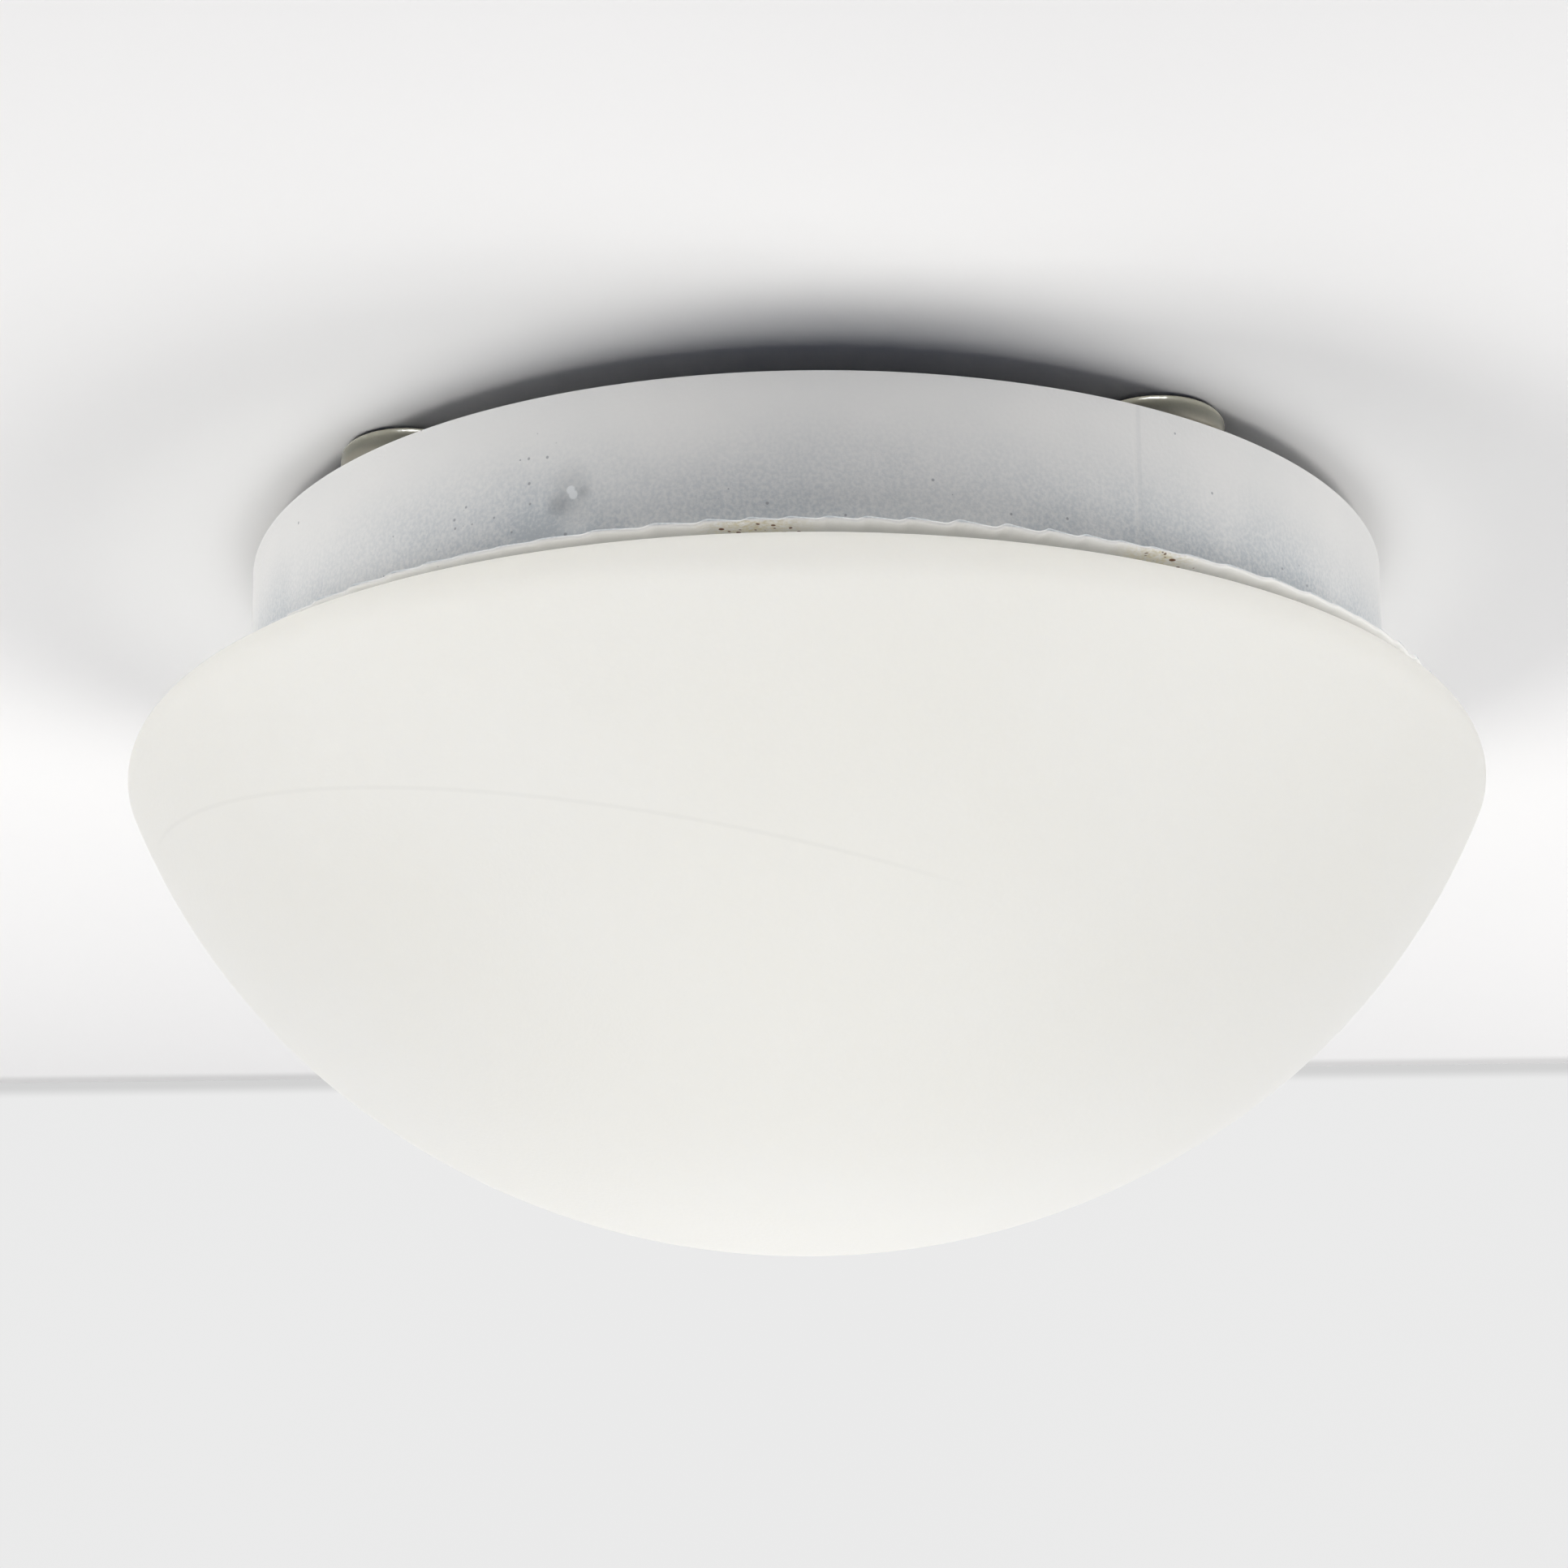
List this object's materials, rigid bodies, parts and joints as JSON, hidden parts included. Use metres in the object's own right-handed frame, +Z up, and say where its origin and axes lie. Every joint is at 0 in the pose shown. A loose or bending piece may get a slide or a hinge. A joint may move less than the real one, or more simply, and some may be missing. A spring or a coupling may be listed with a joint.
{
  "type": "flush ceiling light",
  "caption": "Flush ceiling light: a shallow white steel drum on soft stand-off pads, with a rounded opal glass shade held in spring clips over a level bulb in a screw lampholder.",
  "frame": {"origin": "centre of the ceiling plane that the stand-off pads press against", "axes": "+Z up into the ceiling; the light hangs towards -Z; the bulb lies along X with its crown towards +X; -Y faces the picture's viewer"},
  "size_m": [0.25, 0.25, 0.129],
  "materials": {
    "powder_coat": "fine textured white powder coat",
    "silicone": "translucent greyish silicone, satin",
    "opal_glass": "satin opal, white all through",
    "spring_steel": "blued spring strip",
    "zinc_steel": "zinc plated",
    "porcelain": "white glaze",
    "brass": "drawn brass",
    "tinned_copper": "tinned, bright",
    "bulb_glass": "frosted inside",
    "clear_glass": "clear",
    "cap_metal": "rolled thin sheet",
    "black_glass": "glossy black",
    "solder": "dull tin",
    "filament_wire": "dark wire",
    "block_plastic": "natural white moulding",
    "live_cover": "brown cover",
    "neutral_cover": "blue cover",
    "earth_cover": "green cover with a yellow stripe",
    "black_rubber": "matt"
  },
  "bodies": {
    "pan": {"back_plate": "powder_coat", "drum_wall": "powder_coat", "spacer_pad_1": "silicone", "spacer_pad_2": "silicone", "spacer_pad_3": "silicone", "spacer_pad_4": "silicone", "shade_clip_1": "spring_steel", "shade_clip_2": "spring_steel", "shade_clip_3": "spring_steel", "holder_bracket": "zinc_steel", "bracket_rivets": "zinc_steel", "holder_body": "porcelain", "holder_sleeve": "brass", "holder_contact": "brass", "holder_screws": "zinc_steel", "terminal_block": "block_plastic", "terminal_tubes": "brass", "terminal_screws": "zinc_steel", "terminal_fixing": "zinc_steel", "earth_screw": "zinc_steel", "earth_washer": "zinc_steel", "earth_nut": "zinc_steel", "earth_lug": "tinned_copper", "wire_live": "live_cover", "wire_neutral": "neutral_cover", "wire_earth": "earth_cover", "cable_grommet": "black_rubber"},
    "shade": {"glass_shade": "opal_glass"},
    "bulb": {"bulb_globe": "bulb_glass", "bulb_stem": "clear_glass", "bulb_filament": "filament_wire", "bulb_cap": "cap_metal", "bulb_insulator": "black_glass", "bulb_contact": "solder"}
  },
  "joints": [
    {"name": "shade_drop", "type": "slide", "parent": "pan", "child": "shade", "axis": [0, 0, -1], "range_m": [0, 0.06], "deforming": ["shade_clip_1", "shade_clip_2", "shade_clip_3"]},
    {"name": "bulb_turn", "type": "hinge", "parent": "pan", "child": "bulb", "pos_m": [-0.046, 0, -0.046], "axis": [-1, 0, 0], "range_deg": [0, 1800]}
  ]
}
